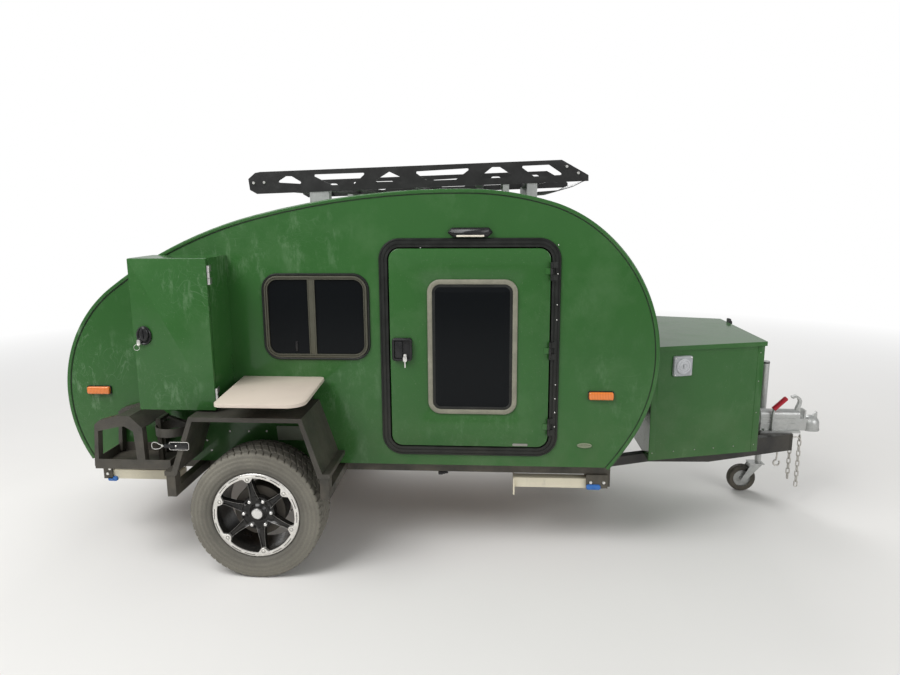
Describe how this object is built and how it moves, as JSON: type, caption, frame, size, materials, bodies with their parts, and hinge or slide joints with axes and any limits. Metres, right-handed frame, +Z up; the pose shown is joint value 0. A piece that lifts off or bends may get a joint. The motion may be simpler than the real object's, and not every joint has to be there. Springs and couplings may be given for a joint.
{
  "type": "teardrop trailer",
  "caption": "Small off-road teardrop camping trailer with side doors, rear galley hatch, side lockers, fold-down corner legs, roof rack, front toolbox and jockey wheel.",
  "frame": {"origin": "on the ground under the middle of the trailer's overall length and width", "axes": "+X forward to the coupling, +Y to the trailer's left, +Z up"},
  "size_m": [4.2606, 2.54, 2.065],
  "materials": {
    "green_paint": "gloss, lightly scuffed",
    "black_steel": "textured powder coat",
    "zinc_steel": "galvanised",
    "cream_steel": "zinc, pale",
    "rubber": "matt",
    "tyre": "dusty",
    "alloy": "gloss black with machined lip",
    "drum": "rough",
    "grey_frame": "satin",
    "tinted_glass": "smooth",
    "black_plastic": "fine grain",
    "lamp_orange": "gloss",
    "lamp_red": "gloss",
    "red_plastic": "satin",
    "pale_plastic": "satin",
    "board": "laminate",
    "floor_board": "sealed plywood",
    "birch": "varnished plywood",
    "cloth": "woven cover"
  },
  "bodies": {
    "trailer": {"side_wall_right": "green_paint", "side_wall_left": "green_paint", "body_shell": "green_paint", "floor_panel": "floor_board", "galley_partition": "birch", "mattress": "cloth", "edge_mouldings": "rubber", "door_frames": "rubber", "side_window_frames": "rubber", "side_window_glass": "tinted_glass", "side_locker_right": "green_paint", "side_locker_left": "green_paint", "axle_beam": "black_steel", "drawbar": "black_steel", "fender_right": "black_steel", "fender_left": "black_steel", "side_tables": "board", "rear_holder_right": "black_steel", "rear_holder_left": "black_steel", "bottle_rings": "black_steel", "toolbox_body": "green_paint", "coupler": "zinc_steel", "coupler_lever": "zinc_steel", "brake_lever": "red_plastic", "jockey_mast": "zinc_steel", "chassis_frame": "black_steel", "roof_rack": "black_steel", "rack_feet": "zinc_steel", "marker_lamps": "lamp_orange", "porch_lamps": "black_plastic", "power_inlet": "pale_plastic", "tail_lamps": "lamp_red", "safety_chains": "zinc_steel"},
    "wheel_right": {"tyre_right": "tyre", "rim_right": "alloy", "brake_drum_right": "drum"},
    "side_door_right": {"door_right": "green_paint", "door_window_frame_right": "grey_frame", "door_glass_right": "tinted_glass", "door_lock_right": "black_plastic"},
    "locker_front_right": {"locker_door_right": "green_paint", "locker_lock_right": "black_plastic"},
    "rear_stand_right": {"rear_leg_right": "cream_steel"},
    "front_stand_right": {"front_leg_right": "cream_steel"},
    "wheel_left": {"tyre_left": "tyre", "rim_left": "alloy", "brake_drum_left": "drum"},
    "side_door_left": {"door_left": "green_paint", "door_window_frame_left": "grey_frame", "door_glass_left": "tinted_glass", "door_lock_left": "black_plastic"},
    "locker_front_left": {"locker_door_left": "green_paint", "locker_lock_left": "black_plastic"},
    "rear_stand_left": {"rear_leg_left": "cream_steel"},
    "front_stand_left": {"front_leg_left": "cream_steel"},
    "hatch": {"rear_hatch": "green_paint"},
    "box_lid": {"toolbox_lid": "green_paint"},
    "jockey_swivel": {"jockey_fork": "zinc_steel"},
    "jockey_roller": {"jockey_wheel": "rubber"}
  },
  "joints": [
    {"name": "wheel_spin_right", "type": "hinge", "parent": "trailer", "child": "wheel_right", "pos_m": [-1.03272, -0.954, 0.332], "axis": [0, 1, 0], "continuous": true},
    {"name": "door_hinge_right", "type": "hinge", "parent": "trailer", "child": "side_door_right", "pos_m": [0.42128, -0.77, 0.5], "axis": [0, 0, 1], "range_deg": [0, 100]},
    {"name": "locker_hinge_right", "type": "hinge", "parent": "trailer", "child": "locker_front_right", "pos_m": [-1.20672, -0.997, 0.857], "axis": [0, 0, 1], "range_deg": [0, 95]},
    {"name": "rear_stand_swing_right", "type": "hinge", "parent": "trailer", "child": "rear_stand_right", "pos_m": [-1.98272, -0.665, 0.388], "axis": [0, 1, 0], "range_deg": [0, 60]},
    {"name": "front_stand_swing_right", "type": "hinge", "parent": "trailer", "child": "front_stand_right", "pos_m": [0.65528, -0.665, 0.388], "axis": [0, -1, 0], "range_deg": [0, 60]},
    {"name": "wheel_spin_left", "type": "hinge", "parent": "trailer", "child": "wheel_left", "pos_m": [-1.03272, 0.954, 0.332], "axis": [0, 1, 0], "continuous": true},
    {"name": "door_hinge_left", "type": "hinge", "parent": "trailer", "child": "side_door_left", "pos_m": [0.42128, 0.77, 0.5], "axis": [0, 0, -1], "range_deg": [0, 100]},
    {"name": "locker_hinge_left", "type": "hinge", "parent": "trailer", "child": "locker_front_left", "pos_m": [-1.20672, 0.997, 0.857], "axis": [0, 0, -1], "range_deg": [0, 95]},
    {"name": "rear_stand_swing_left", "type": "hinge", "parent": "trailer", "child": "rear_stand_left", "pos_m": [-1.98272, 0.665, 0.388], "axis": [0, 1, 0], "range_deg": [0, 60]},
    {"name": "front_stand_swing_left", "type": "hinge", "parent": "trailer", "child": "front_stand_left", "pos_m": [0.65528, 0.665, 0.388], "axis": [0, -1, 0], "range_deg": [0, 60]},
    {"name": "hatch_hinge", "type": "hinge", "parent": "trailer", "child": "hatch", "pos_m": [-1.46572, 0, 1.6541], "axis": [0, 1, 0], "range_deg": [0, 75]},
    {"name": "lid_hinge", "type": "hinge", "parent": "trailer", "child": "box_lid", "pos_m": [0.98128, 0, 1.11], "axis": [0, -1, 0], "range_deg": [0, 85]},
    {"name": "jockey_turn", "type": "hinge", "parent": "trailer", "child": "jockey_swivel", "pos_m": [1.85728, 0.185, 0.33], "axis": [0, 0, 1], "continuous": true},
    {"name": "jockey_spin", "type": "hinge", "parent": "jockey_swivel", "child": "jockey_roller", "pos_m": [1.75728, 0.185, 0.088], "axis": [0, 1, 0], "continuous": true}
  ]
}
